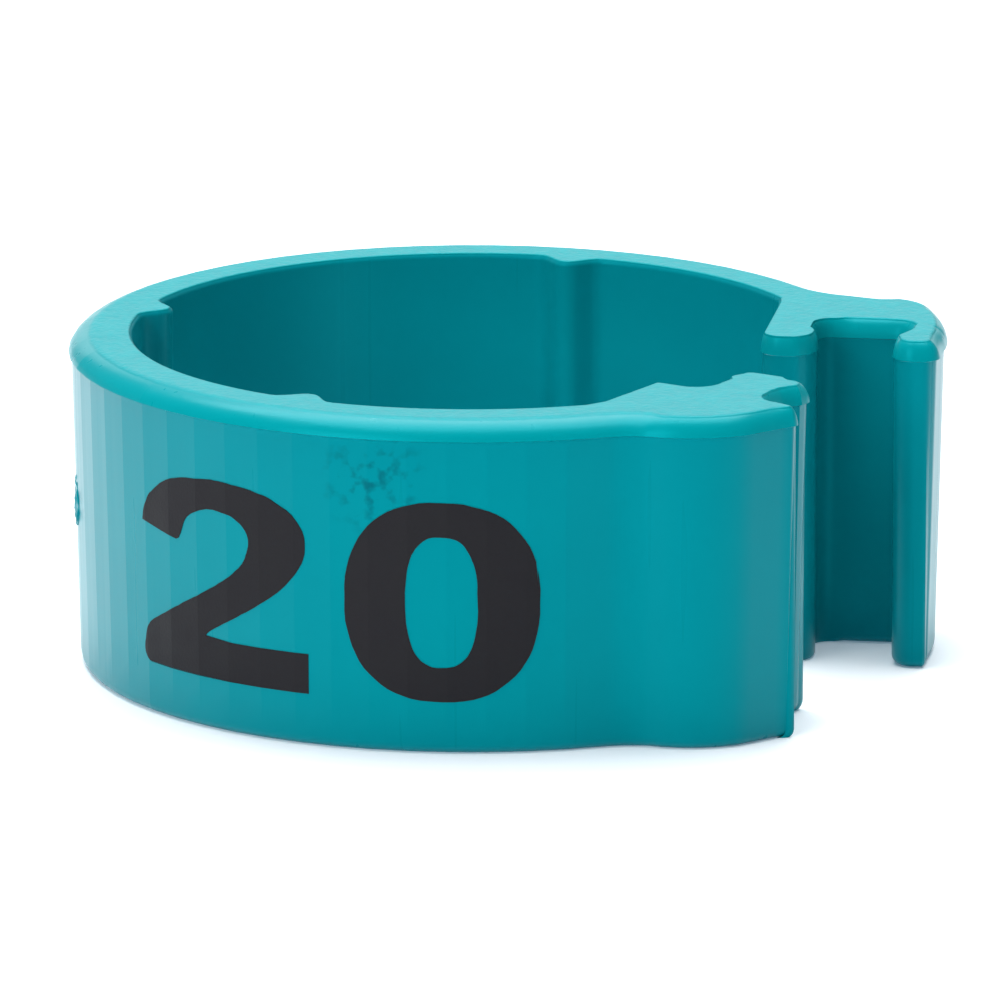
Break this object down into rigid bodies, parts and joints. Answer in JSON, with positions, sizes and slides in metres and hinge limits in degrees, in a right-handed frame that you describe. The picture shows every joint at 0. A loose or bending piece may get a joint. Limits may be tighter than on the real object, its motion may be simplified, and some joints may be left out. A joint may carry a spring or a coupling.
{
  "type": "leg band",
  "caption": "Open springy plastic ring that snaps shut round a bird's leg with a barbed tongue in a slotted socket; grip ribs inside, a printed number outside.",
  "frame": {"origin": "centre of the ring, on its bottom end face", "axes": "+Z along the ring's axis; the mouth faces +X; socket arm on the +Y side, tongue arm on the -Y side"},
  "size_m": [0.0203, 0.019, 0.0079],
  "materials": {
    "band_plastic": "teal moulded plastic, satin walls and spark-eroded end faces",
    "print_ink": "dark pad-printed ink film"
  },
  "bodies": {
    "back": {"back_span": "band_plastic", "back_rib": "band_plastic", "socket_arm_flex_near": "band_plastic", "tongue_arm_flex_near": "band_plastic"},
    "socket_shoulder": {"socket_arm_shoulder": "band_plastic", "socket_arm_flex_mid": "band_plastic"},
    "socket_side": {"socket_arm_side": "band_plastic", "socket_arm_side_rib": "band_plastic", "rear_digit_two": "print_ink", "rear_digit_zero": "print_ink", "socket_arm_flex_far": "band_plastic"},
    "socket_end": {"socket_block": "band_plastic", "inner_jaw": "band_plastic", "jaw_flex": "band_plastic"},
    "jaw": {"outer_jaw": "band_plastic"},
    "tongue_shoulder": {"tongue_arm_shoulder": "band_plastic", "gate_vestige": "band_plastic", "tongue_arm_flex_mid": "band_plastic"},
    "tongue_side": {"tongue_arm_side": "band_plastic", "tongue_arm_side_rib": "band_plastic", "front_digit_two": "print_ink", "front_digit_zero": "print_ink", "tongue_arm_flex_far": "band_plastic"},
    "tongue_end": {"tongue_block": "band_plastic", "tongue_nose": "band_plastic"}
  },
  "joints": [
    {"name": "socket_arm_flex_near", "type": "hinge", "parent": "back", "child": "socket_shoulder", "pos_m": [-0.00856, 0.00182, 0.00395], "axis": [0, 0, -1], "range_deg": [-6, 5], "stiffness_Nm_per_rad": 0.25, "deforming": ["socket_arm_flex_near"]},
    {"name": "socket_arm_flex_mid", "type": "hinge", "parent": "socket_shoulder", "child": "socket_side", "pos_m": [-0.00608, 0.00629, 0.00395], "axis": [0, 0, -1], "range_deg": [-9.61, 8.01], "deforming": ["socket_arm_flex_mid"]},
    {"name": "socket_arm_flex_far", "type": "hinge", "parent": "socket_side", "child": "socket_end", "pos_m": [0.00562, 0.0067, 0.00395], "axis": [0, 0, -1], "range_deg": [-2.41, 2.01], "deforming": ["socket_arm_flex_far"]},
    {"name": "outer_jaw_flex", "type": "hinge", "parent": "socket_end", "child": "jaw", "pos_m": [0.0101, 0.00388, 0.00395], "axis": [0, 0, -1], "range_deg": [-8, 0], "stiffness_Nm_per_rad": 0.05, "deforming": ["jaw_flex"]},
    {"name": "tongue_arm_flex_near", "type": "hinge", "parent": "back", "child": "tongue_shoulder", "pos_m": [-0.00856, -0.00182, 0.00395], "axis": [0, 0, 1], "range_deg": [-7.5, 5.5], "stiffness_Nm_per_rad": 0.25, "deforming": ["tongue_arm_flex_near"]},
    {"name": "tongue_arm_flex_mid", "type": "hinge", "parent": "tongue_shoulder", "child": "tongue_side", "pos_m": [-0.00608, -0.00629, 0.00395], "axis": [0, 0, 1], "range_deg": [-4.1, 3.01], "deforming": ["tongue_arm_flex_mid"]},
    {"name": "tongue_arm_flex_far", "type": "hinge", "parent": "tongue_side", "child": "tongue_end", "pos_m": [0.00489, -0.00725, 0.00395], "axis": [0, 0, 1], "range_deg": [-1.37, 1.01], "deforming": ["tongue_arm_flex_far"]}
  ],
  "couplings": [
    {"joint": "socket_arm_flex_mid", "follows": "socket_arm_flex_near", "ratio": 1.6},
    {"joint": "socket_arm_flex_far", "follows": "socket_arm_flex_near", "ratio": 0.4},
    {"joint": "tongue_arm_flex_mid", "follows": "tongue_arm_flex_near", "ratio": 0.54546},
    {"joint": "tongue_arm_flex_far", "follows": "tongue_arm_flex_near", "ratio": 0.18182}
  ]
}
